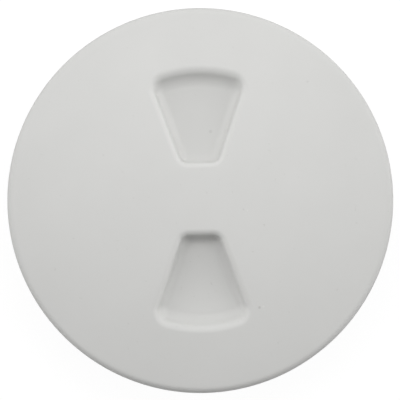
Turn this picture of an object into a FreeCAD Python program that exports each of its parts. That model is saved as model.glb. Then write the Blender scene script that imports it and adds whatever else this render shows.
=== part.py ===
import FreeCAD, Part
import math
import os

# A round screw-in inspection plate for a boat's deck, in millimetres.
# The origin is on the turning axis, on the deck: the underside of the flange is z = 0, and up is +z.

# Hole in the deck and screws
cutout_diameter = 112.0       # hole sawn in the deck
cutout_play = 0.5             # gap all round between the collar and that hole
screw_land = 12.1             # breadth of the flange outside the step for the seal
screw_count = 6
screw_hole_diameter = 4.6
screw_head_diameter = 8.4
first_screw_angle = 30.0      # from +x, so that no screw lies on the line of the recesses

# Ring
flange_thickness = 3.5
flange_edge_radius = 1.0
collar_wall = 2.7
collar_past_neck = 6.0        # how much deeper the collar reaches than the neck of the cover
collar_foot_slope = 1.0
collar_mouth_slope = 0.6
seal_step_floor = 1.5         # above the deck

# Thread, a single right-hand ridge on each side
thread_pitch = 5.0
thread_turns = 1.75
thread_height = 1.8
ridge_base = 3.0
ridge_crest = 1.5
ridge_sunk = 0.4              # how far a ridge is sunk in the wall that carries it
thread_radial_gap = 0.3
thread_top_gap = 1.65         # from the mouth slope of the collar to its first ridge
thread_stagger = 0.5          # the ridge of the neck starts this much higher than that of the collar
ridge_into_shoulder = 0.25

# Cover
disc_thickness = 3.0
crown_height = 3.5            # how much higher the middle of the cover is than its rim
rim_wall = 2.5
rim_edge_radius = 2.3
rim_to_flange_gap = 0.7
rim_to_deck_gap = 0.6
neck_wall = 2.7
neck_foot_slope = 1.0
brace_thickness = 2.4         # the one web across the underside
brace_depth = 7.0

# Seal
seal_section = 3.0
seal_play = 0.1               # keeps the seal free of the neck, the step and the disc
seal_room = 0.6               # outside the seal, in its step

# Finger recess: a fan, wide end outward, with steep walls under a generous round lip. Its sizes are
# those of the sharp edge that the lip rounds off, level with the crown. Its twin is half a turn on
recess_foot_to_neck = 3.0     # how far the foot of the curved outer wall lies inside the bore of the neck
recess_inner_edge = 12.9      # from the middle of the cover to the straight inner edge
recess_inner_half_width = 6.8
recess_side_angle = 20.0      # of each side from the middle line
recess_outer_corner = 3.6
recess_inner_corner = 3.6
recess_corner_loss = 0.4      # the corners are this much tighter at the inner foot than at the edge
recess_inner_depth = 7.2      # from the crown to the foot of the inner wall
recess_outer_depth = 5.4      # from the crown to the foot of the outer wall, as the floor rises outward
recess_inner_run = 0.3        # how far the inner wall leans in over the inner depth
recess_side_run = 0.8         # how far each side leans in over the inner depth
recess_outer_run = 3.5        # how far the outer wall leans in over the outer depth
recess_lip_radius = 2.5
recess_foot_radius = 0.4
recess_wall = 2.6

# Radii that follow, from the hole in the deck outward to the rim
collar_outer = cutout_diameter / 2 - cutout_play
collar_bore = collar_outer - collar_wall
collar_crest = collar_bore - thread_height
neck_crest = collar_bore - thread_radial_gap
neck_root = neck_crest - thread_height
neck_inner = neck_root - neck_wall
seal_inner = neck_crest + seal_play
seal_radius = seal_inner + seal_section / 2
seal_step_radius = seal_inner + seal_section + seal_room
flange_radius = seal_step_radius + screw_land
screw_circle = seal_step_radius + screw_land / 2
rim_inner = flange_radius + rim_to_flange_gap
cover_radius = rim_inner + rim_wall

# Heights that follow
seal_height = seal_step_floor + seal_play + seal_section / 2
disc_underside = seal_step_floor + seal_section + 2 * seal_play
rim_top = disc_underside + disc_thickness
crown_top = rim_top + crown_height
crown_radius = (cover_radius ** 2 + crown_height ** 2) / (2 * crown_height)
thread_rise = thread_pitch * thread_turns
half_ridge = ridge_base / 2
collar_ridge_start = seal_step_floor - collar_mouth_slope - thread_top_gap - half_ridge - thread_rise
neck_ridge_start = collar_ridge_start + thread_stagger
shoulder_bottom = neck_ridge_start + thread_rise + half_ridge - ridge_into_shoulder
neck_bottom = neck_ridge_start - half_ridge - neck_foot_slope
collar_bottom = neck_bottom - collar_past_neck

# Angle at which the collar's ridge starts, so that it winds half a pitch away from the neck's
ridge_lead = collar_ridge_start - neck_ridge_start + thread_pitch / 2
collar_ridge_angle = 360 * ridge_lead / thread_pitch

recess_outer_edge = neck_inner - recess_foot_to_neck + recess_outer_run
ball_seam_turn = 90           # turns the ball's seam and poles away from the crown
past_all = 2 * cover_radius   # reaches past the whole part
margin = 1.0                  # how far a cutting shape runs past the face it cuts
lip_reach = 0.05              # how near the crown an edge lies that counts as on it

UP = FreeCAD.Vector(0, 0, 1)
ORIGIN = FreeCAD.Vector(0, 0, 0)


def point(x, y, z=0.0):
    return FreeCAD.Vector(x, y, z)


def line(start, end):
    return Part.LineSegment(start, end).toShape()


def arc(start, middle, end):
    return Part.Arc(start, middle, end).toShape()


def path_of(places):
    """Straight edges through (radius, height) places in the xz plane."""
    corners = [point(radius, 0, height) for radius, height in places]
    return [line(first, second) for first, second in zip(corners, corners[1:])]


def turned(edges):
    """A closed outline in the xz plane, turned once round the z axis."""
    return Part.Face(Part.Wire(edges)).revolve(ORIGIN, UP, 360)


def circle_edges(shape, radius, height):
    """The edges of a turned shape that are full circles of a radius at a height."""
    found = []
    for edge in shape.Edges:
        box = edge.BoundBox
        level = box.ZLength < 0.001 and abs(box.ZMax - height) < 0.001
        if level and abs(box.XMax - radius) < 0.001:
            found.append(edge)
    return found


def crown_ball(inset):
    """The large ball whose top is the crown of the cover, made smaller by an inset."""
    ball = Part.makeSphere(crown_radius - inset)
    ball.rotate(ORIGIN, point(0, 1, 0), 90)
    ball.rotate(ORIGIN, point(1, 0, 0), ball_seam_turn)
    ball.translate(point(0, 0, crown_top - crown_radius))
    return ball


def ridge(root, crest, start, start_angle):
    """A ridge with sloping flanks that winds up from a start height and angle."""
    way = 1 if crest > root else -1
    sunk = root - way * ridge_sunk
    flank = (ridge_base - ridge_crest) / 2 / thread_height
    half_sunk = half_ridge + flank * ridge_sunk
    half_crest = ridge_crest / 2
    low = [point(sunk, 0, -half_sunk), point(crest, 0, -half_crest)]
    high = [point(crest, 0, half_crest), point(sunk, 0, half_sunk)]
    section = Part.makePolygon(low + high + low[:1])
    helix = Part.makeHelix(thread_pitch, thread_rise, (root + crest) / 2)
    wound = Part.Wire(helix.Edges).makePipeShell([section], True, True)
    wound.rotate(ORIGIN, UP, start_angle)
    wound.translate(point(0, 0, start))
    return wound


def crown_at(radius):
    """How much higher the crown is than the rim, at a radius."""
    return crown_height * (1 - (radius / cover_radius) ** 2)


def fan_outline(depth, grow):
    """The fan seen from above at a depth under the crown, made larger all round by a growth."""
    angle = math.radians(recess_side_angle)
    share = depth / recess_inner_depth
    outer = recess_outer_edge - recess_outer_run * depth / recess_outer_depth + grow
    inner = recess_inner_edge + recess_inner_run * share - grow
    outer_corner = recess_outer_corner - recess_corner_loss * share + grow
    inner_corner = recess_inner_corner - recess_corner_loss * share + grow
    side_in = recess_side_run * share - grow
    across = point(math.cos(angle), -math.sin(angle))
    along = point(math.sin(angle), math.cos(angle))
    side_place = point(recess_inner_half_width, recess_inner_edge) - across * side_in
    # The inner corner's centre lies its radius inside the inner edge and inside the side
    shift = side_place - across * inner_corner
    up_side = (inner + inner_corner - shift.y) / along.y
    inner_centre = shift + along * up_side
    # The outer corner's centre lies its radius inside the side and inside the outer arc
    shift = side_place - across * outer_corner
    half_sum = shift.dot(along)
    rest = shift.dot(shift) - (outer - outer_corner) ** 2
    outer_centre = shift + along * (math.sqrt(half_sum ** 2 - rest) - half_sum)
    outward = point(outer_centre.x, outer_centre.y).normalize()
    outer_way = (across + outward).normalize()
    inner_way = (across + point(0, -1)).normalize()
    right = [
        inner_centre + point(0, -inner_corner),
        inner_centre + inner_way * inner_corner,
        inner_centre + across * inner_corner,
        outer_centre + across * outer_corner,
        outer_centre + outer_way * outer_corner,
        outer_centre + outward * outer_corner,
    ]
    left = [point(-place.x, place.y) for place in right]
    edges = [
        line(left[0], right[0]),
        arc(right[0], right[1], right[2]),
        line(right[2], right[3]),
        arc(right[3], right[4], right[5]),
        arc(right[5], point(0, outer), left[5]),
        arc(left[5], left[4], left[3]),
        line(left[3], left[2]),
        arc(left[2], left[1], left[0]),
    ]
    wire = Part.Wire(edges)
    wire.translate(point(0, 0, crown_top - depth))
    return wire


def fan_well(top_depth, grow, floor_drop):
    """The space of a recess, or of its wall when grown, down to the sloping floor."""
    deepest = recess_inner_depth + floor_drop + margin
    walls = Part.makeLoft([fan_outline(top_depth, grow), fan_outline(deepest, grow)], True, True)
    inner_foot = recess_inner_edge + recess_inner_run
    outer_foot = recess_outer_edge - recess_outer_run
    slope = (recess_inner_depth - recess_outer_depth) / (outer_foot - inner_foot)
    foot_height = crown_top - recess_inner_depth - floor_drop
    near = point(-past_all, 0, foot_height - slope * inner_foot)
    far = point(-past_all, past_all, foot_height + slope * (past_all - inner_foot))
    above = [point(-past_all, past_all, past_all), point(-past_all, 0, past_all)]
    side = Part.Face(Part.makePolygon([near, far] + above + [near]))
    return walls.common(side.extrude(point(2 * past_all, 0, 0)))


def lip_edges(shape):
    """The edges where the recesses break through the crown."""
    found = []
    inside = cover_radius - rim_edge_radius - margin
    for edge in shape.Edges:
        ends = [edge.valueAt(edge.FirstParameter), edge.valueAt(edge.LastParameter)]
        middle = edge.valueAt((edge.FirstParameter + edge.LastParameter) / 2)
        on_crown = True
        for place in ends + [middle]:
            radius = math.hypot(place.x, place.y)
            high = rim_top + crown_at(radius)
            on_crown = on_crown and radius < inside and abs(place.z - high) < lip_reach
        if on_crown:
            found.append(edge)
    return found


def floor_edges(well):
    """The edges round the floor, the lowest face of a well."""
    floor = min(well.Faces, key=lambda face: face.CenterOfMass.z)
    return floor.Edges


# deck_ring: one plastic moulding, a flange for the screws and a collar with the inside thread
deck_ring = turned(path_of([
    (collar_bore + collar_mouth_slope, seal_step_floor),
    (seal_step_radius, seal_step_floor),
    (seal_step_radius, flange_thickness),
    (flange_radius, flange_thickness),
    (flange_radius, 0),
    (collar_outer, 0),
    (collar_outer, collar_bottom + collar_foot_slope),
    (collar_outer - collar_foot_slope, collar_bottom),
    (collar_bore, collar_bottom),
    (collar_bore, seal_step_floor - collar_mouth_slope),
    (collar_bore + collar_mouth_slope, seal_step_floor),
]))
flange_edge = circle_edges(deck_ring, flange_radius, flange_thickness)
deck_ring = deck_ring.makeFillet(flange_edge_radius, flange_edge)
deck_ring = deck_ring.fuse(ridge(collar_bore, collar_crest, collar_ridge_start, collar_ridge_angle))

# The screw holes, each with a right-angled countersink
hole_radius = screw_hole_diameter / 2
head_radius = screw_head_diameter / 2
for number in range(screw_count):
    angle = math.radians(first_screw_angle + 360 * number / screw_count)
    place = point(screw_circle * math.cos(angle), screw_circle * math.sin(angle))
    shank = Part.makeCylinder(hole_radius, flange_thickness + 2 * margin, place - UP * margin)
    cone_start = place + UP * (flange_thickness - (head_radius - hole_radius))
    cone_height = head_radius - hole_radius + margin
    head = Part.makeCone(hole_radius, head_radius + margin, cone_height, cone_start)
    deck_ring = deck_ring.cut(shank.fuse(head))

# o_ring: the rubber seal that rides on the neck of the cover
o_ring = Part.makeTorus(seal_radius, seal_section / 2, point(0, 0, seal_height))

# cover: one plastic moulding, a crowned disc with a hanging rim and a threaded neck
cover = turned(path_of([
    (0, crown_top),
    (cover_radius, crown_top),
    (cover_radius, rim_to_deck_gap),
    (rim_inner, rim_to_deck_gap),
    (rim_inner, disc_underside),
    (neck_crest, disc_underside),
    (neck_crest, shoulder_bottom),
    (neck_root, shoulder_bottom),
    (neck_root, neck_bottom + neck_foot_slope),
    (neck_root - neck_foot_slope, neck_bottom),
    (0, neck_bottom),
    (0, crown_top),
]))
cover = cover.common(crown_ball(0))
neck_space = Part.makeCylinder(neck_inner, past_all, point(0, 0, neck_bottom - margin))
cover = cover.cut(neck_space.common(crown_ball(disc_thickness)))
cover = cover.makeFillet(rim_edge_radius, circle_edges(cover, cover_radius, rim_top))
cover = cover.fuse(ridge(neck_root, neck_crest, neck_ridge_start, 0))

# The web across the underside, from one side of the neck to the other
brace_bottom = disc_underside - brace_depth
brace_half = neck_inner + neck_wall / 2
brace_corner = point(-brace_half, -brace_thickness / 2, brace_bottom)
brace = Part.makeBox(2 * brace_half, brace_thickness, disc_underside + margin - brace_bottom, brace_corner)
cover = cover.fuse(brace)

# The two finger recesses, walls first and then the spaces
recess_shell = fan_well(disc_thickness, recess_wall, recess_wall)
recess_space = fan_well(-margin, 0, 0)
recess_space = recess_space.makeFillet(recess_foot_radius, floor_edges(recess_space))
for turn in (0, 180):
    shell = recess_shell.copy()
    shell.rotate(ORIGIN, UP, turn)
    cover = cover.fuse(shell)
for turn in (0, 180):
    space = recess_space.copy()
    space.rotate(ORIGIN, UP, turn)
    cover = cover.cut(space)
cover = cover.makeFillet(recess_lip_radius, lip_edges(cover))

os.makedirs("parts", exist_ok=True)
for name, shape in (("deck_ring", deck_ring), ("o_ring", o_ring), ("cover", cover)):
    solid = shape.Solids[0] if shape.Solids else shape
    solid.exportStep("parts/" + name + ".step")
    print(name, len(shape.Solids), round(solid.Volume), solid.isValid())
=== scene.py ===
import math

import bmesh
import bpy
import numpy as np
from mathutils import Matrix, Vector


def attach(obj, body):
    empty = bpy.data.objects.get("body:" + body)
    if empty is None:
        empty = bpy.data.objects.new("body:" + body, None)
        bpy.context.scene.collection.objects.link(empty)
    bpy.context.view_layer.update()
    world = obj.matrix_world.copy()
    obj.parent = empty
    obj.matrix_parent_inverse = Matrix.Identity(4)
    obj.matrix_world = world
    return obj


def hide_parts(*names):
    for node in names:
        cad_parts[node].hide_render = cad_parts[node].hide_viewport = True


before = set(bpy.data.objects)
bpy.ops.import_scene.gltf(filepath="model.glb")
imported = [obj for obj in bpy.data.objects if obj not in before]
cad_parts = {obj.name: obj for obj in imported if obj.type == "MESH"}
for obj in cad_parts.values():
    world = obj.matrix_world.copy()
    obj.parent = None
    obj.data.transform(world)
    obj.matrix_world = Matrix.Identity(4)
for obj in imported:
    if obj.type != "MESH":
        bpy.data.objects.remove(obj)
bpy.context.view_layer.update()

# Deck ring
# The part that stays on the boat: a flat flange for six countersunk screws and, under it, a collar with
# the inside thread. It is one injection moulding of white ASA, with a small radius on every edge and a
# ridge that fades out at both ends so that the mould can unscrew from it.
mm = 0.001                    # sizes are in millimetres until a mesh or a material takes them
columns = 240                 # steps round the turning axis, 1.5 degrees each
weld_distance = 0.002
ring_bore, ring_outer, ring_bottom = 52.8, 55.5, -19.0
flange_radius, flange_top = 68.3, 3.5
step_radius, step_floor = 56.2, 1.5          # the step in which the seal lies
land_inner, land_outer = 56.9, 66.9          # top of the flange between its two rounded edges
under_inner, under_outer = 56.2, 67.8        # the same on its underside
collar_chamfer, step_chamfer = 1.0, 0.6
wide_round, edge_round, fine_round = 0.4, 0.3, 0.2
flange_top_round, flange_under_round = 1.0, 0.25
screw_circle, screws = 62.25, 6
screw_radius, head_radius, hole_margin, hole_round = 2.3, 4.2, 0.5, 0.15
land_shares, under_shares = (0, 0.3, 0.6, 0.85), (0.15, 0.4, 0.7, 1)     # loops at a hole, above and below
thread_pitch, thread_turns, thread_height = 5.0, 1.75, 1.8
ridge_base, ridge_crest, ridge_sunk = 3.0, 1.5, 0.4      # widths at wall and crest, and depth in the wall
ridge_step, ridge_fade = 3.0, 12.0           # degrees from loop to loop, and over which an end fades out
ridge_faintest = 0.02                        # share of the fade that is left at the very end
ring_ridge_start, ring_ridge_bearing = -11.0, 144.0
cloud_size, dust_size, grain_size, grain_depth = 20.0, 1.6, 0.6, 0.02
stain_core = 0.3                             # share of a stain's radius in which it is at its full strength


def rounded(corners, steps=4):
    """An outline through corners (radius, height, rounding). Each corner between the ends becomes the arc
    of its rounding that touches both straight runs: centre + rounding * (sin t * way in - cos t * side of
    the centre), for t from 0 to the turn. A point a third of the rounding along each run keeps it flat."""
    corners = np.array(corners, float)
    corners, radius = corners[:, :2], corners[1:-1, 2:]
    runs = np.diff(corners, axis=0)
    ways = runs / np.linalg.norm(runs, axis=1)[:, None]
    come, leave = ways[:-1], ways[1:]
    cross = come[:, 0] * leave[:, 1] - come[:, 1] * leave[:, 0]
    turn = np.arctan2(cross, (come * leave).sum(axis=1))[:, None]
    side = np.sign(turn) * np.stack([-come[:, 1], come[:, 0]], axis=1)
    reach = radius * np.tan(np.abs(turn) / 2)
    start = corners[1:-1] - come * reach
    centre = (start + side * radius)[:, None, :]
    swing = np.abs(turn)[:, :, None] * np.linspace(0, 1, steps + 1)[None, :, None]
    arcs = centre + radius[:, :, None] * (np.sin(swing) * come[:, None] - np.cos(swing) * side[:, None])
    before = (start - come * radius / 3)[:, None, :]
    after = (corners[1:-1] + leave * (reach + radius / 3))[:, None, :]
    inner = np.concatenate([before, arcs, after], axis=1).reshape(-1, 2)
    return np.vstack([corners[:1], inner, corners[-1:]])


def way_of(angle):
    """The way (cos a, sin a) in plan of each angle."""
    return np.stack([np.cos(angle), np.sin(angle)], axis=-1)


def turned(outline):
    """The outline turned once round the axis: (r cos a, r sin a, height) for each place and angle a."""
    angle = np.arange(columns) * 2 * math.pi / columns
    radius, height = outline[:, :1], outline[:, 1:]
    return np.stack([radius * np.cos(angle), radius * np.sin(angle), height + 0 * angle], axis=-1)


def spun(patch, degrees):
    """A patch turned about the axis: x cos a - y sin a, x sin a + y cos a, and its own height."""
    cosine, sine = math.cos(math.radians(degrees)), math.sin(math.radians(degrees))
    x, y, z = patch[..., 0], patch[..., 1], patch[..., 2]
    return np.stack([x * cosine - y * sine, x * sine + y * cosine, z], axis=-1)


def between(first, last, shares):
    """Loops between two loops: first + share * (last - first), one loop for each share."""
    return first + np.array(shares)[:, None, None] * (last - first)


def swept_between(first, last, shares):
    """Loops between two loops, shared out in distance from the axis and in angle round it, and so never
    across an arc about the axis: (r cos a, r sin a) with r and a each first + share * (last - first)."""
    first, last = (np.stack([np.hypot(loop[:, 0], loop[:, 1]), np.arctan2(loop[:, 1], loop[:, 0]),
                             loop[:, 2]], axis=-1) for loop in (first, last))
    radius, angle, height = np.moveaxis(between(first, last, shares), -1, 0)
    return np.stack([radius * np.cos(angle), radius * np.sin(angle), height], axis=-1)


def sector_loop(inner, outer, height):
    """A closed loop round one screw's share of a ring: along the outer arc, in, back along the inner one
    and out again, in ten steps from arc to arc."""
    angle = np.radians(np.linspace(0, 360 / screws, columns // screws + 1))
    across = np.linspace(0, 1, 10, endpoint=False)
    radius = np.concatenate([0 * angle[1:] + outer, outer + (inner - outer) * across,
                             0 * angle[1:] + inner, inner + (outer - inner) * across])
    turn = np.concatenate([angle[:-1], 0 * across + angle[-1], angle[:0:-1], 0 * across])
    return np.stack([radius * np.cos(turn), radius * np.sin(turn), 0 * turn + height], axis=-1)


def wound_ridge(root, crest, start, bearing):
    """A trapezoid section carried along a helix: at share s it stands at angle a0 + turns * s and height
    z0 + pitch * turns * s. At each end its height swells as 3f^2 - 2f^3, f running from 0 to 1 there."""
    way = 1 if crest > root else -1
    sunk = root - way * ridge_sunk
    slope = (ridge_base - ridge_crest) / 2 / thread_height
    half_sunk, half_crest = ridge_base / 2 + slope * ridge_sunk, ridge_crest / 2
    section = rounded([(sunk, -half_sunk, 0), (crest, -half_crest, edge_round),
                       (crest, half_crest, edge_round), (sunk, half_sunk, 0)], 3)
    degrees = 360 * thread_turns
    share = np.linspace(0, 1, round(degrees / ridge_step) + 1)[:, None]
    angle = math.radians(bearing) + math.radians(degrees) * share
    fade = np.clip(np.minimum(share, 1 - share) * degrees / ridge_fade, ridge_faintest, 1)
    swell = 3 * fade ** 2 - 2 * fade ** 3
    radius = sunk + (section[:, 0] - sunk) * swell
    height = start + thread_pitch * thread_turns * share + section[:, 1]
    loops = np.stack([radius * np.cos(angle), radius * np.sin(angle), height], axis=-1)
    poles = loops.mean(axis=1, keepdims=True) + 0 * loops
    return np.concatenate([poles[:1], loops, poles[-1:]])


def piece_of(name, patches, material):
    """One object of several grids of points in millimetres. Neighbouring points of a grid make four-sided
    faces, each row closes on itself, grids that meet are welded, and faces are turned outwards."""
    points, faces, used = [], [], 0
    for patch in patches:
        rows, count = patch.shape[:2]
        here = used + np.arange(rows * count).reshape(rows, count)
        beside = np.roll(here, -1, axis=1)
        faces.append(np.stack([here[:-1], beside[:-1], beside[1:], here[1:]], axis=-1).reshape(-1, 4))
        points.append(patch.reshape(-1, 3) * mm)
        used += rows * count
    mesh = bpy.data.meshes.new(name)
    mesh.from_pydata(np.concatenate(points), [], np.concatenate(faces))
    shape = bmesh.new()
    shape.from_mesh(mesh)
    bmesh.ops.remove_doubles(shape, verts=shape.verts, dist=weld_distance * mm)
    bmesh.ops.recalc_face_normals(shape, faces=shape.faces)
    shape.to_mesh(mesh)
    shape.free()
    mesh.shade_smooth()
    mesh.materials.append(material)
    piece = bpy.data.objects.new(name, mesh)
    bpy.context.scene.collection.objects.link(piece)
    return piece


def linear(code):
    """An sRGB hex colour as linear red, green, blue and alpha."""
    parts = np.array([int(code[first:first + 2], 16) for first in (1, 3, 5)]) / 255
    parts = np.where(parts <= 0.04045, parts / 12.92, ((parts + 0.055) / 1.055) ** 2.4)
    return (*parts.tolist(), 1.0)


def add_node(tree, kind, settings, links=()):
    """Adds a node, sets its properties and input values by name, and links other sockets to its inputs."""
    node = tree.nodes.new(kind)
    for name, value in settings.items():
        if isinstance(name, str) and hasattr(node, name):
            setattr(node, name, value)
        else:
            node.inputs[name].default_value = value
    for name, socket in dict(links).items():
        tree.links.new(socket, node.inputs[name])
    return node


def satin_asa(name, marks=()):
    """White ASA from a mould with a fine spark-eroded skin: even and soft, with no clear reflection. The
    grain of the skin is 0.3 mm, drawn at 0.6 mm so that it shows. The colour clouds by about one part in
    a hundred over 20 mm, with rare grey flecks of dust. Marks are stains: place, radius, colour, share."""
    material = bpy.data.materials.new(name)
    material.use_nodes = True
    tree = material.node_tree
    tree.nodes.clear()
    place = add_node(tree, "ShaderNodeTexCoord", {}).outputs["Object"]
    cloud = add_node(tree, "ShaderNodeTexNoise", {"Scale": 1 / (cloud_size * mm), "Detail": 3.0},
                     {"Vector": place})
    colour = add_node(tree, "ShaderNodeMix",
                      {"data_type": "RGBA", 6: linear("#CECECC"), 7: linear("#D3D3D1")},
                      {0: cloud.outputs["Fac"]}).outputs[2]
    dust = add_node(tree, "ShaderNodeTexNoise", {"Scale": 1 / (dust_size * mm), "Detail": 2.0},
                    {"Vector": place})
    fleck = add_node(tree, "ShaderNodeMapRange", {"From Min": 0.7, "From Max": 0.82, "To Max": 0.35},
                     {"Value": dust.outputs["Fac"]})
    colour = add_node(tree, "ShaderNodeMix", {"data_type": "RGBA", 7: linear("#B6B5B1")},
                      {0: fleck.outputs[0], 6: colour}).outputs[2]
    for spot, radius, code, share in marks:
        away = add_node(tree, "ShaderNodeVectorMath",
                        {"operation": "DISTANCE", 1: [part * mm for part in spot]}, {0: place})
        stain = add_node(tree, "ShaderNodeMapRange",
                         {"interpolation_type": "SMOOTHSTEP", "From Min": radius * mm,
                          "From Max": stain_core * radius * mm, "To Max": share},
                         {"Value": away.outputs["Value"]})
        colour = add_node(tree, "ShaderNodeMix", {"data_type": "RGBA", 7: linear(code)},
                          {0: stain.outputs[0], 6: colour}).outputs[2]
    grain = add_node(tree, "ShaderNodeTexNoise", {"Scale": 1 / (grain_size * mm), "Detail": 2.0},
                     {"Vector": place})
    rough = add_node(tree, "ShaderNodeMapRange", {"To Min": 0.52, "To Max": 0.64},
                     {"Value": grain.outputs["Fac"]})
    bump = add_node(tree, "ShaderNodeBump", {"Strength": 0.25, "Distance": grain_depth * mm},
                    {"Height": grain.outputs["Fac"]})
    shader = add_node(tree, "ShaderNodeBsdfPrincipled", {"IOR": 1.49},
                      {"Base Color": colour, "Roughness": rough.outputs[0],
                       "Normal": bump.outputs["Normal"]})
    add_node(tree, "ShaderNodeOutputMaterial", {}, {"Surface": shader.outputs["BSDF"]})
    return material


collar = turned(rounded([
    (under_inner, 0, 0),
    (ring_outer, 0, wide_round),
    (ring_outer, ring_bottom + collar_chamfer, edge_round),
    (ring_outer - collar_chamfer, ring_bottom, edge_round),
    (ring_bore, ring_bottom, wide_round),
    (ring_bore, step_floor - step_chamfer, fine_round),
    (ring_bore + step_chamfer, step_floor, fine_round),
    (step_radius, step_floor, edge_round),
    (step_radius, flange_top, edge_round),
    (land_inner, flange_top, 0),
]))
flange_edge = turned(rounded([
    (land_outer, flange_top, 0),
    (flange_radius, flange_top, flange_top_round),
    (flange_radius, 0, flange_under_round),
    (under_outer, 0, 0),
], 6))

# The flange is one sector with its screw hole, repeated. The loops round the hole face the places of the
# sector's own edge: a hole place lies at the bearing of the edge place as seen from the hole's middle,
# with the distance along the screw circle taken as arc length.
sector_turn = 360 / screws
half_sector = math.radians(sector_turn / 2)
top_loop = sector_loop(land_inner, land_outer, flange_top)
under_loop = sector_loop(under_inner, under_outer, 0)
hole = rounded([
    (head_radius + hole_margin, flange_top, 0),
    (head_radius, flange_top, hole_round),
    (screw_radius, flange_top - (head_radius - screw_radius), hole_round),
    (screw_radius, 0, hole_round),
    (screw_radius + hole_margin, 0, 0),
], 3)
round_axis = screw_circle * (np.arctan2(top_loop[:, 1], top_loop[:, 0]) - half_sector)
out_of_axis = np.hypot(top_loop[:, 0], top_loop[:, 1]) - screw_circle
bearing = half_sector + np.arctan2(round_axis, out_of_axis)
hole_plan = screw_circle * way_of(half_sector) + hole[:, :1, None] * way_of(bearing)
hole_loops = np.concatenate([hole_plan, hole[:, 1:, None] + 0 * hole_plan[..., :1]], axis=-1)
sector = np.concatenate([swept_between(top_loop, hole_loops[0], land_shares), hole_loops,
                         swept_between(hole_loops[-1], under_loop, under_shares)])
sectors = [spun(sector, sector_turn * number) for number in range(screws)]
ring_ridge = wound_ridge(ring_bore, ring_bore - thread_height, ring_ridge_start, ring_ridge_bearing)

ring = piece_of("deck_ring_moulding", [collar, flange_edge, *sectors, ring_ridge],
                satin_asa("ASA_moulded_satin_white"))
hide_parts("deck_ring")
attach(ring, "deck_ring")

# Seal
# A rubber ring of round section, moulded in two halves of a tool, which rides on the neck of the cover
# and fills the step in the flange. It is matt black with a dusty bloom and a fine seam at mid-height.
seal_radius, seal_height, seal_section = 54.1, 3.1, 3.0
seam_height, seam_width, seal_inset, seal_steps = 0.04, 0.08, 0.01, 48
bloom_size, skin_size, skin_depth = 6.0, 0.5, 0.03

around = np.linspace(0, 2 * math.pi, seal_steps, endpoint=False)[:, None]
# The seam is a low bump on the round section: seam_height * exp(-(sin t / seam_width)^2)
swelling = seal_section / 2 - seal_inset + seam_height * np.exp(-(np.sin(around) / seam_width) ** 2)
seal_outline = np.hstack([seal_radius + swelling * np.cos(around), seal_height + swelling * np.sin(around)])

# Bloom clouds the black over 6 mm, and the skin's fine grain breaks up what it reflects
rubber = bpy.data.materials.new("Nitrile_rubber_matt_black")
rubber.use_nodes = True
tree = rubber.node_tree
tree.nodes.clear()
place = add_node(tree, "ShaderNodeTexCoord", {}).outputs["Object"]
bloom = add_node(tree, "ShaderNodeTexNoise", {"Scale": 1 / (bloom_size * mm), "Detail": 4.0},
                 {"Vector": place})
black = add_node(tree, "ShaderNodeMix", {"data_type": "RGBA", 6: linear("#1A1A1B"), 7: linear("#2B2B2A")},
                 {0: bloom.outputs["Fac"]})
skin = add_node(tree, "ShaderNodeTexNoise", {"Scale": 1 / (skin_size * mm), "Detail": 2.0},
                {"Vector": place})
dull = add_node(tree, "ShaderNodeMapRange", {"To Min": 0.55, "To Max": 0.75},
                {"Value": skin.outputs["Fac"]})
bump = add_node(tree, "ShaderNodeBump", {"Strength": 0.3, "Distance": skin_depth * mm},
                {"Height": skin.outputs["Fac"]})
shader = add_node(tree, "ShaderNodeBsdfPrincipled", {"IOR": 1.52},
                  {"Base Color": black.outputs[2], "Roughness": dull.outputs[0],
                   "Normal": bump.outputs["Normal"]})
add_node(tree, "ShaderNodeOutputMaterial", {}, {"Surface": shader.outputs["BSDF"]})

seal_loops = turned(np.vstack([seal_outline, seal_outline[:1]]))
seal = piece_of("seal_ring", [seal_loops], rubber)
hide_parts("o_ring")
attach(seal, "seal")

# Cover
# The lid that shows in use: a gently crowned disc over the whole ring, with a hanging rim, a threaded
# neck, one web across its underside and two fan-shaped finger recesses, each a pan with a rounded lip.
# It is one injection moulding of the same white ASA as the ring, screwed in by hand.
plate_radius, cover_radius = 71.5, 71.45     # of the crown's ball at its edge, and of the rim
crown_top, crown_height, disc_thickness, disc_underside = 11.16, 3.5, 3.0, 4.7
crown_ball = (plate_radius ** 2 + crown_height ** 2) / (2 * crown_height)
top_edge = 68.5                              # where the crown gives way to the rounded rim
under_edge, under_step, under_step_round = 52.0, 0.2, 0.05     # the underside's seam in the neck's wall
rim_inner, rim_bottom, rim_top = 69.0, 0.6, 7.66
rim_round, rim_foot_round, rim_inside_round = 2.3, 0.35, 0.5
neck_crest, neck_root, neck_inner, neck_bottom = 52.5, 50.7, 48.0, -13.0
neck_land, neck_chamfer = -0.5, 1.0          # the seal's land starts at this height
neck_hidden_radius, neck_hidden_top = 50.0, 7.0          # the wall's own top, buried in the disc
neck_ridge_start, neck_ridge_bearing = -10.5, 0.0
# The fan in plan, at the crown and without its roundings, and how far each wall runs in from top to foot
fan_inner, fan_outer, fan_half_width, fan_degrees = 13.35, 48.45, 7.15, 20.0
fan_outer_corner, fan_inner_corner, fan_corner_loss = 4.2, 3.5, 0.4
fan_inner_depth, fan_outer_depth = 6.0, 6.2
fan_inner_run, fan_side_run, fan_outer_run = 0.37, 1.23, 3.7
lip_radii, foot_radii = (2.35, 3.85, 2.2), (3.2, 4.6, 2.65)              # side, outer and inner wall
under_lip_radii, under_foot_radii = (0.6, 0.6, 0.6), (0.8, 0.8, 0.8)     # the same under the disc
floor_dish, pan_wall = 1.15, 2.6
web_half, web_bottom, web_top, web_buried = 1.2, -2.3, 8.7, 1.3
web_foot_round, web_top_round = 0.5, 0.1
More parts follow.
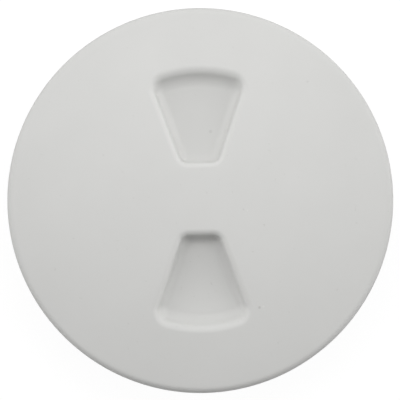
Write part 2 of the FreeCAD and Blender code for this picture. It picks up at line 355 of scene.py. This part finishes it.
# Steps along half the fan's edge: inner edge, inner corner, side, outer corner and outer arc. The edge of
# the half disc has as many, of which some lead out from the axis.
fan_steps, spoke_steps = (8, 10, 24, 14, 24), 20
lip_steps, foot_steps, height_tries = 10, 5, 6
face_shares = np.linspace(0, 0.97, 16)       # of the way from the half disc's edge to the lip
wall_shares, floor_shares = (0.04, 0.5, 0.96), (0.03, 0.15, 0.3, 0.45, 0.6, 0.8, 1)


def crown_at(places, inset=0.0):
    """Height of the crown, or of the face an inset below it: that of a ball with its top on the axis."""
    square = (places[..., 0] ** 2 + places[..., 1] ** 2)[..., None]
    return crown_top - crown_ball + np.sqrt((crown_ball - inset) ** 2 - square)


def fan_loop(depth, grow):
    """The fan at a depth, grown outwards: its places and the outward way at each. From the middle of the
    inner edge it runs straight, round the inner corner, along the side, round the outer corner and along
    the arc about the axis, and then the same mirrored. The outer corner touches the side and that arc."""
    share = depth / fan_inner_depth
    slant = math.radians(fan_degrees)
    across = np.array([math.cos(slant), -math.sin(slant)])
    along = np.array([math.sin(slant), math.cos(slant)])
    outer = fan_outer - fan_outer_run * depth / fan_outer_depth + grow
    inner = fan_inner + fan_inner_run * share - grow
    big = fan_outer_corner - fan_corner_loss * share + grow
    small = fan_inner_corner - fan_corner_loss * share + grow
    side_place = np.array([fan_half_width, fan_inner]) - across * (fan_side_run * share - grow)
    shift = side_place - across * small
    small_middle = shift + along * (inner + small - shift[1]) / along[1]
    shift = side_place - across * big
    half_sum = shift @ along
    reach = math.sqrt(half_sum ** 2 - shift @ shift + (outer - big) ** 2) - half_sum
    big_middle = shift + along * reach
    joint = math.atan2(big_middle[1], big_middle[0])
    edge_steps, small_steps, side_steps, big_steps, arc_steps = fan_steps
    low = np.linspace(0, small_middle[0], edge_steps, endpoint=False)
    run = np.linspace(0, 1, side_steps, endpoint=False)[:, None]
    small_ways = way_of(np.linspace(-math.pi / 2, -slant, small_steps, endpoint=False))
    big_ways = way_of(np.linspace(-slant, joint, big_steps, endpoint=False))
    arc_ways = way_of(np.linspace(joint, math.pi / 2, arc_steps + 1))
    start, end = small_middle + small * across, big_middle + big * across
    ways = np.concatenate([np.stack([0 * low, 0 * low - 1], axis=1), small_ways, across + 0 * run,
                           big_ways, arc_ways])
    places = np.concatenate([np.stack([low, 0 * low + inner], axis=1), small_middle + small * small_ways,
                             start + (end - start) * run, big_middle + big * big_ways, outer * arc_ways])
    return (np.vstack([half, half[-2:0:-1] * [-1, 1]]) for half in (places, ways))


def half_disc_loop(radius):
    """The edge of the half disc y > 0: along x from the axis outwards, round the arc and back."""
    angle = np.linspace(0, math.pi, 2 * (sum(fan_steps) - spoke_steps) + 1)
    out = np.linspace(0, radius, spoke_steps, endpoint=False)
    right = np.stack([out, 0 * out], axis=1)
    return np.vstack([right, radius * way_of(angle), right[:0:-1] * [-1, 1]])


def arc_loops(before, corner, after, steps):
    """The arc that leaves before-corner at its start and joins corner-after at its end: the quadratic
    rational curve of those three places, the corner weighted by the cosine of half the turn."""
    come, leave = corner - before, after - corner
    cosine = (come * leave).sum(-1) / np.linalg.norm(come, axis=-1) / np.linalg.norm(leave, axis=-1)
    weight = np.sqrt((1 + cosine) / 2)[:, None]
    share = np.linspace(0, 1, steps + 1)[:, None, None]
    one, two, three = (1 - share) ** 2, 2 * share * (1 - share) * weight, share ** 2
    return (one * before + two * corner + three * after) / (one + two + three)


def with_height(places, height):
    """Places in plan with a height to each."""
    return np.concatenate([places, height], axis=-1)


def pan_radius(ways, radii):
    """The radius of a rounded edge of the pan by the way (x, y) of its wall: that of the side walls, going
    over to that of the outer or the inner wall with y squared, for y above or below 0."""
    side, outer, inner = radii
    y = ways[:, 1:]
    return side + (np.where(y > 0, outer, inner) - side) * y ** 2


def pan_face(grow, inset, edge_radius, lips, feet, dish):
    """One half of a face of the disc with its pan, from the half disc's edge in to the middle of the pan's
    floor. The wall runs straight down from the crown to the floor through the fan at no depth and the fan
    at the inner depth. The floor's height is foot + rise * (y - inner foot) - dish * (1 - t^2), with t
    from -1 at the inner foot to 1 at the outer one. The lip and the foot of the wall are arcs."""
    upper, ways = fan_loop(0, grow)
    lower, _ = fan_loop(fan_inner_depth, grow)
    lean = (lower - upper) / fan_inner_depth
    inner_foot, outer_foot = fan_inner + fan_inner_run, fan_outer - fan_outer_run
    rise = (fan_inner_depth - fan_outer_depth) / (outer_foot - inner_foot)
    middle_y, half_floor = (inner_foot + outer_foot) / 2, (outer_foot - inner_foot) / 2

    def floor_at(y):
        share = (y - middle_y) / half_floor
        return crown_top - fan_inner_depth - grow + rise * (y - inner_foot) - dish * (1 - share ** 2)

    # Where the wall meets crown and floor, found by going down it to the height that the last try gave
    edge_depth = np.full((len(upper), 1), float(inset))
    foot_depth = np.full((len(upper), 1), fan_inner_depth + grow)
    for _ in range(height_tries):
        edge_depth = crown_top - crown_at(upper + lean * edge_depth, inset)
        foot_depth = crown_top - floor_at((upper + lean * foot_depth)[:, 1:])
    edge = with_height(upper + lean * edge_depth, crown_top - edge_depth)
    base = with_height(upper + lean * foot_depth, crown_top - foot_depth)
    down = (base - edge) / np.linalg.norm(base - edge, axis=1)[:, None]
    turn = np.arccos(np.clip(-(ways * down[:, :2]).sum(1), -1, 1))[:, None]
    lip_reach, foot_reach = (pan_radius(ways, radii) * np.tan(turn / 2) for radii in (lips, feet))
    lip_start = edge[:, :2] + ways * lip_reach
    lip_start = with_height(lip_start, crown_at(lip_start, inset))
    slope = rise + 2 * dish * (base[:, 1:2] - middle_y) / half_floor ** 2
    flat = with_height(-ways, -slope * ways[:, 1:])
    flat /= np.linalg.norm(flat, axis=1)[:, None]
    floor_start = base + flat * foot_reach
    round_lip = arc_loops(lip_start, edge, edge + down * lip_reach, lip_steps)
    round_foot = arc_loops(base - down * foot_reach, base, floor_start, foot_steps)
    face = between(half_disc_loop(edge_radius), lip_start[:, :2], face_shares)
    face = with_height(face, crown_at(face, inset))
    wall = between(round_lip[-1], round_foot[0], wall_shares)
    hub = [0, middle_y + half_floor / 4, 0]     # from here every place round the floor is in plain sight
    floor = between(floor_start, 0 * floor_start + hub, floor_shares)
    floor[..., 2] = floor_at(floor[..., 1])
    return np.concatenate([face, round_lip, wall, round_foot, floor])


top_half = pan_face(0.0, 0.0, top_edge, lip_radii, foot_radii, floor_dish)
under_half = pan_face(pan_wall, disc_thickness, under_edge, under_lip_radii, under_foot_radii, 0.0)
rim = turned(rounded([
    (top_edge, crown_at(np.array([0, top_edge]))[0], 0),
    (cover_radius, rim_top, rim_round),
    (cover_radius, rim_bottom, rim_foot_round),
    (rim_inner, rim_bottom, rim_foot_round),
    (rim_inner, disc_underside, rim_inside_round),
    (under_edge + under_step, disc_underside, under_step_round),
    (under_edge, crown_at(np.array([0, under_edge]), disc_thickness)[0], 0),
], 8))
neck = turned(rounded([
    (neck_hidden_radius, neck_hidden_top, 0),
    (neck_inner, neck_hidden_top, fine_round),
    (neck_inner, neck_bottom, edge_round),
    (neck_root - neck_chamfer, neck_bottom, edge_round),
    (neck_root, neck_bottom + neck_chamfer, edge_round),
    (neck_root, neck_land, edge_round),
    (neck_crest, neck_land, edge_round),
    (neck_crest, neck_hidden_top, fine_round),
    (neck_hidden_radius, neck_hidden_top, 0),
]))
neck_ridge = wound_ridge(neck_root, neck_crest, neck_ridge_start, neck_ridge_bearing)

# The web is its rounded section (y, z) carried straight from one side of the neck to the other
web_section = rounded([
    (0, web_top, 0),
    (web_half, web_top, web_top_round),
    (web_half, web_bottom, web_foot_round),
    (-web_half, web_bottom, web_foot_round),
    (-web_half, web_top, web_top_round),
    (0, web_top, 0),
])[:-1]
web_ends = np.array([-1, 1])[:, None] * (neck_inner + web_buried)
web = np.stack([web_ends + 0 * web_section[:, 0], web_section[:, 0] + 0 * web_ends,
                web_section[:, 1] + 0 * web_ends], axis=-1)
web_poles = web.mean(axis=1, keepdims=True) + 0 * web
web = np.concatenate([web_poles[:1], web, web_poles[1:]])

# The marks that the photo shows: a dark speck in the upper recess, and beside the lower recess and right
# of the middle a dark one with a pale one next to it
stains = [
    ((4.3, 25.4, 4.01), 0.9, "#6E6A66", 0.14),
    ((20.98, -40.58, 9.73), 0.7, "#6E6A66", 0.24),
    ((22.46, -40.24, 9.71), 0.6, "#E6E5E3", 0.25),
    ((15.84, -4.39, 10.97), 0.5, "#8E8B87", 0.15),
    ((17.31, -4.79, 10.94), 0.5, "#E6E5E3", 0.25),
]
faces_of_disc = [top_half, spun(top_half, 180), under_half, spun(under_half, 180)]
cover = piece_of("cover_moulding", [*faces_of_disc, rim, neck, neck_ridge, web],
                 satin_asa("ASA_moulded_satin_white_marked", stains))
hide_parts("cover")
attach(cover, "cover")

# Studio floor
# A pale matt board on which the collar stands. It is nearly white to the camera and to reflections, with
# the plate's soft shadow on it, and an even pale grey in the light that it throws back at the plate.
board_reach, board_gap = 4.0, 0.0002
board_height = ring_bottom * mm - board_gap
board_glow = 0.93             # with what the lamp adds, just short of white

floor_mesh = bpy.data.meshes.new("studio_floor")
floor_mesh.from_pydata([(x * board_reach, y * board_reach, board_height)
                        for x, y in ((-1, -1), (1, -1), (1, 1), (-1, 1))], [], [(0, 1, 2, 3)])
floor = bpy.data.objects.new("studio_floor", floor_mesh)
bpy.context.scene.collection.objects.link(floor)
board = bpy.data.materials.new("Pale_board_matt")
board.use_nodes = True
tree = board.node_tree
tree.nodes.clear()
ray = add_node(tree, "ShaderNodeLightPath", {})
seen = add_node(tree, "ShaderNodeMath", {"operation": "MAXIMUM"},
                {0: ray.outputs["Is Camera Ray"], 1: ray.outputs["Is Glossy Ray"]})
seen = add_node(tree, "ShaderNodeMath", {"operation": "MAXIMUM"},
                {0: seen.outputs[0], 1: ray.outputs["Is Transmission Ray"]})
board_colour = add_node(tree, "ShaderNodeMix",
                        {"data_type": "RGBA", 6: linear("#B3B3B3"), 7: linear("#616161")},
                        {0: seen.outputs[0]})
matt = add_node(tree, "ShaderNodeBsdfDiffuse", {}, {"Color": board_colour.outputs[2]})
glow_level = add_node(tree, "ShaderNodeMath", {"operation": "MULTIPLY", 1: board_glow},
                      {0: seen.outputs[0]})
glow = add_node(tree, "ShaderNodeEmission", {}, {"Strength": glow_level.outputs[0]})
both = add_node(tree, "ShaderNodeAddShader", {}, {0: matt.outputs[0], 1: glow.outputs[0]})
add_node(tree, "ShaderNodeOutputMaterial", {}, {"Surface": both.outputs[0]})
floor_mesh.materials.append(board)

# Studio light
# One soft lamp hangs close over the back half of the plate. The room is pale to the left and right of it
# and dark on its near side, so that walls that face the near side fall into shade and the others don't.
light_level, lamp_share = 0.7273, 0.63       # strength of all the light, and the lamp's part in it
lamp_distance, lamp_rise, lamp_aside = 0.254, math.radians(66.8), 0.002
lamp_width, lamp_breadth = 0.319, 0.146
room_right, room_back, room_up, room_sides, room_darkest = 0.346, 1.656, -0.316, 8.54, 0.02
aim_height = 0.0077           # of the place on the axis that the lamp faces

lamp_data = bpy.data.lights.new("soft_lamp", "AREA")
lamp_data.shape = "RECTANGLE"
lamp_data.size, lamp_data.size_y = lamp_width, lamp_breadth
lamp = bpy.data.objects.new("soft_lamp", lamp_data)
aim = Vector((0, 0, aim_height))
lamp.location = aim + Vector((lamp_aside, lamp_distance * math.cos(lamp_rise),
                              lamp_distance * math.sin(lamp_rise)))
lamp.rotation_euler = (aim - lamp.location).to_track_quat("-Z", "Y").to_euler()
# A room of strength s lights a face that looks at it as a lamp of energy s * pi^2 * distance^2 does
lamp_data.energy = light_level * lamp_share * math.pi ** 2 * lamp.location.length_squared
bpy.context.scene.collection.objects.link(lamp)

world = bpy.data.worlds.new("studio_room")
bpy.context.scene.world = world
world.use_nodes = True
tree = world.node_tree
tree.nodes.clear()
# The room along a direction (x, y, z) is as strong as 1 + right * x + back * y + up * z + sides * x * x
way = add_node(tree, "ShaderNodeTexCoord", {}).outputs["Generated"]
x_part = add_node(tree, "ShaderNodeSeparateXYZ", {}, {0: way}).outputs["X"]
lean = add_node(tree, "ShaderNodeVectorMath",
                {"operation": "DOT_PRODUCT", 1: (room_right, room_back, room_up)}, {0: way})
even = add_node(tree, "ShaderNodeMath", {"operation": "ADD", 1: 1.0}, {0: lean.outputs["Value"]})
square = add_node(tree, "ShaderNodeMath", {"operation": "MULTIPLY"}, {0: x_part, 1: x_part})
pale = add_node(tree, "ShaderNodeMath", {"operation": "MULTIPLY_ADD", 1: room_sides},
                {0: square.outputs[0], 2: even.outputs[0]})
pale = add_node(tree, "ShaderNodeMath", {"operation": "MAXIMUM", 1: room_darkest}, {0: pale.outputs[0]})
pale = add_node(tree, "ShaderNodeMath", {"operation": "MULTIPLY", 1: light_level * (1 - lamp_share)},
                {0: pale.outputs[0]})
ray = add_node(tree, "ShaderNodeLightPath", {})
room = add_node(tree, "ShaderNodeMix", {"data_type": "FLOAT", 3: 1.0},
                {0: ray.outputs["Is Camera Ray"], 2: pale.outputs[0]})
sky = add_node(tree, "ShaderNodeBackground", {}, {"Strength": room.outputs[0]})
add_node(tree, "ShaderNodeOutputWorld", {}, {"Surface": sky.outputs[0]})

# Camera
# It looks down on the plate from a few degrees on the near side of upright, which shows a sliver of the
# near rim. The plate lies a hair off the middle of the view and is turned one degree to the left in it.
camera_distance, camera_lean, camera_turn = 1.2, math.radians(4.37), math.radians(-1.15)
camera_aim = Vector((-0.00011, -0.00017, 0.0059))
plate_width_in_view, view_pixels = 386.3, 400

camera_data = bpy.data.cameras.new("camera")
camera_data.sensor_width = 36
view_width = 2 * plate_radius * mm * view_pixels / plate_width_in_view
camera_data.lens = camera_data.sensor_width * camera_distance / view_width
camera = bpy.data.objects.new("camera", camera_data)
camera.rotation_euler = (camera_lean, 0, camera_turn)
camera.location = camera_aim + camera.rotation_euler.to_matrix() @ Vector((0, 0, camera_distance))
bpy.context.scene.collection.objects.link(camera)
bpy.context.scene.camera = camera
bpy.context.scene.view_settings.view_transform = "Standard"
